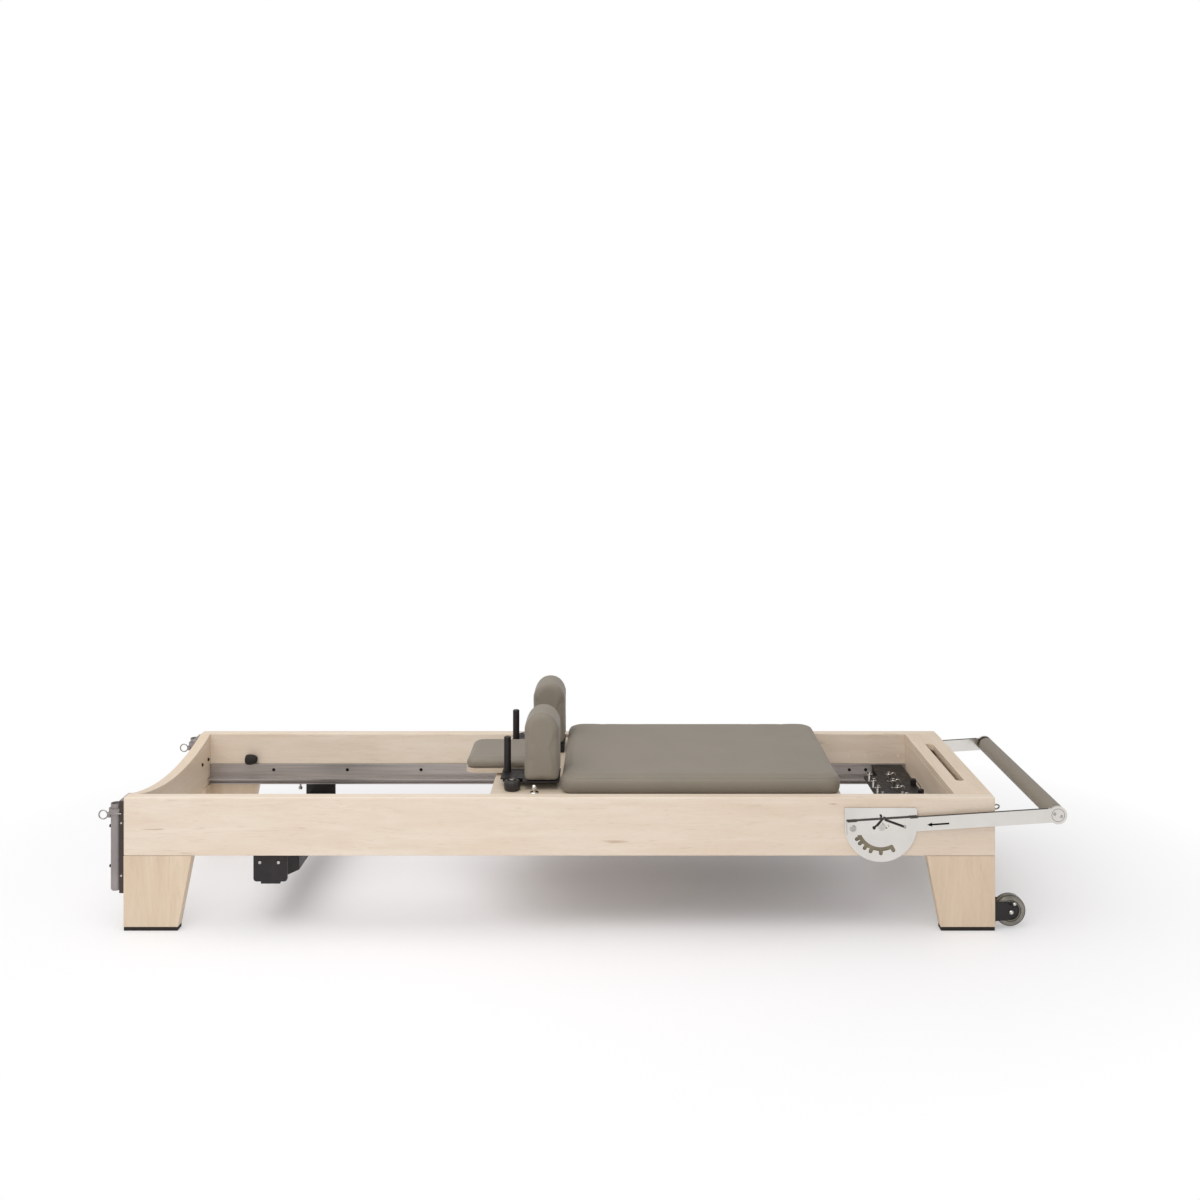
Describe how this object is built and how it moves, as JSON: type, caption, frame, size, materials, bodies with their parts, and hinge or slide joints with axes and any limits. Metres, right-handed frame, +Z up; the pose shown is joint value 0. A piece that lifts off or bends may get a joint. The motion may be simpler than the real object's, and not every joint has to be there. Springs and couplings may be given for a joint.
{
  "type": "pilates reformer",
  "caption": "Low maple exercise bed with a rolling cushioned carriage, tilting headrest, shoulder rests, folding foot bar, spring bar, transport wheels and tower sockets.",
  "frame": {"origin": "on the floor, in the middle of the whole part seen from above", "axes": "+X towards the foot bar, +Y towards the back rail, +Z up"},
  "size_m": [2.6686, 0.7362, 0.576],
  "materials": {
    "maple": "clear satin lacquer",
    "cover": "matt taupe upholstery",
    "black_steel": "black powder coat",
    "rubber": "matt",
    "track_alloy": "grey anodised",
    "grey_steel": "grey powder coat",
    "chrome": "polished",
    "wheel_plastic": "smoky tyre on a black hub",
    "roller_plastic": "black",
    "spring_steel": "bright wire"
  },
  "bodies": {
    "frame": {"rail_front": "maple", "rail_back": "maple", "head_board": "maple", "foot_board": "maple", "foot_inner_board": "maple", "foot_platform": "maple", "leg_head_front": "maple", "leg_head_back": "maple", "leg_foot_front": "maple", "leg_foot_back": "maple", "foot_pad_head_front": "rubber", "foot_pad_head_back": "rubber", "foot_pad_foot_front": "rubber", "foot_pad_foot_back": "rubber", "track_front": "track_alloy", "track_back": "track_alloy", "cross_beam": "black_steel", "travel_stop_front": "rubber", "travel_stop_back": "rubber", "tower_socket_front": "grey_steel", "tower_socket_back": "grey_steel", "gear_plate_front": "chrome", "gear_plate_back": "chrome", "transport_bracket_front": "black_steel", "transport_bracket_back": "black_steel"},
    "footbar_pivot": {"pivot_bolt_front": "chrome", "pivot_bolt_back": "chrome"},
    "footbar": {"footbar_arm_front": "chrome", "footbar_arm_back": "chrome", "footbar_tube": "grey_steel", "footbar_grip": "cover"},
    "carriage": {"carriage_deck": "maple", "carriage_pad": "cover", "side_iron_front": "black_steel", "side_iron_back": "black_steel", "spring_carrier": "black_steel", "spring_1": "spring_steel", "spring_2": "spring_steel", "spring_3": "spring_steel", "spring_4": "spring_steel", "spring_5": "spring_steel", "shoulder_base_front": "black_steel", "shoulder_base_back": "black_steel", "shoulder_pad_front": "cover", "shoulder_pad_back": "cover"},
    "roller_head_front": {"roller_head_front": "roller_plastic"},
    "roller_head_back": {"roller_head_back": "roller_plastic"},
    "roller_foot_front": {"roller_foot_front": "roller_plastic"},
    "roller_foot_back": {"roller_foot_back": "roller_plastic"},
    "headrest": {"headrest_board": "maple", "headrest_pad": "cover"},
    "clamp_knob_front": {"clamp_knob_front": "roller_plastic"},
    "clamp_knob_back": {"clamp_knob_back": "roller_plastic"},
    "rest_plunger_front": {"rest_plunger_front": "chrome"},
    "rest_plunger_back": {"rest_plunger_back": "chrome"},
    "transport_wheel_front": {"transport_wheel_front": "wheel_plastic"},
    "transport_wheel_back": {"transport_wheel_back": "wheel_plastic"},
    "socket_pin_front": {"socket_pin_front": "chrome"},
    "socket_pin_back": {"socket_pin_back": "chrome"},
    "spring_bar": {"spring_bar": "black_steel"}
  },
  "joints": [
    {"name": "carriage_travel", "type": "slide", "parent": "frame", "child": "carriage", "axis": [-1, 0, 0], "range_m": [0, 0.8145]},
    {"name": "roller_head_front_spin", "type": "hinge", "parent": "carriage", "child": "roller_head_front", "pos_m": [-0.009, -0.2955, 0.2505], "axis": [0, -1, 0], "continuous": true},
    {"name": "roller_head_back_spin", "type": "hinge", "parent": "carriage", "child": "roller_head_back", "pos_m": [-0.009, 0.2955, 0.2505], "axis": [0, -1, 0], "continuous": true},
    {"name": "roller_foot_front_spin", "type": "hinge", "parent": "carriage", "child": "roller_foot_front", "pos_m": [0.641, -0.2955, 0.2505], "axis": [0, -1, 0], "continuous": true},
    {"name": "roller_foot_back_spin", "type": "hinge", "parent": "carriage", "child": "roller_foot_back", "pos_m": [0.641, 0.2955, 0.2505], "axis": [0, -1, 0], "continuous": true},
    {"name": "headrest_tilt", "type": "hinge", "parent": "carriage", "child": "headrest", "pos_m": [-0.1125, 0, 0.3628], "axis": [0, 1, 0], "range_deg": [0, 30]},
    {"name": "clamp_knob_front_turn", "type": "hinge", "parent": "carriage", "child": "clamp_knob_front", "pos_m": [-0.197, -0.249, 0.357], "axis": [0, 0, 1], "continuous": true},
    {"name": "clamp_knob_back_turn", "type": "hinge", "parent": "carriage", "child": "clamp_knob_back", "pos_m": [-0.197, 0.249, 0.357], "axis": [0, 0, 1], "continuous": true},
    {"name": "rest_plunger_front_pull", "type": "slide", "parent": "carriage", "child": "rest_plunger_front", "axis": [0, 0, 1], "range_m": [0, 0.008], "stiffness_N_per_m": 600, "springref_m": -0.005},
    {"name": "rest_plunger_back_pull", "type": "slide", "parent": "carriage", "child": "rest_plunger_back", "axis": [0, 0, 1], "range_m": [0, 0.008], "stiffness_N_per_m": 600, "springref_m": -0.005},
    {"name": "footbar_swing", "type": "hinge", "parent": "frame", "child": "footbar_pivot", "pos_m": [0.825, 0, 0.291], "axis": [0, -1, 0], "range_deg": [0, 113.3]},
    {"name": "footbar_lock", "type": "slide", "parent": "footbar_pivot", "child": "footbar", "axis": [-0.9979, 0, -0.0645], "range_m": [0, 0.0115]},
    {"name": "spring_bar_shift", "type": "slide", "parent": "frame", "child": "spring_bar", "axis": [-1, 0, 0], "range_m": [0, 0.159]},
    {"name": "transport_wheel_front_spin", "type": "hinge", "parent": "frame", "child": "transport_wheel_front", "pos_m": [1.1875, -0.32, 0.0476], "axis": [0, 1, 0], "continuous": true},
    {"name": "transport_wheel_back_spin", "type": "hinge", "parent": "frame", "child": "transport_wheel_back", "pos_m": [1.1875, 0.32, 0.0476], "axis": [0, 1, 0], "continuous": true},
    {"name": "socket_pin_front_pull", "type": "slide", "parent": "frame", "child": "socket_pin_front", "axis": [-1, 0, 0], "range_m": [0, 0.03]},
    {"name": "socket_pin_back_pull", "type": "slide", "parent": "frame", "child": "socket_pin_back", "axis": [-1, 0, 0], "range_m": [0, 0.03]}
  ],
  "couplings": [
    {"joint": "roller_head_front_spin", "follows": "carriage_travel", "rad_per_m": 46.083},
    {"joint": "roller_head_back_spin", "follows": "carriage_travel", "rad_per_m": 46.083},
    {"joint": "roller_foot_front_spin", "follows": "carriage_travel", "rad_per_m": 46.083},
    {"joint": "roller_foot_back_spin", "follows": "carriage_travel", "rad_per_m": 46.083}
  ]
}
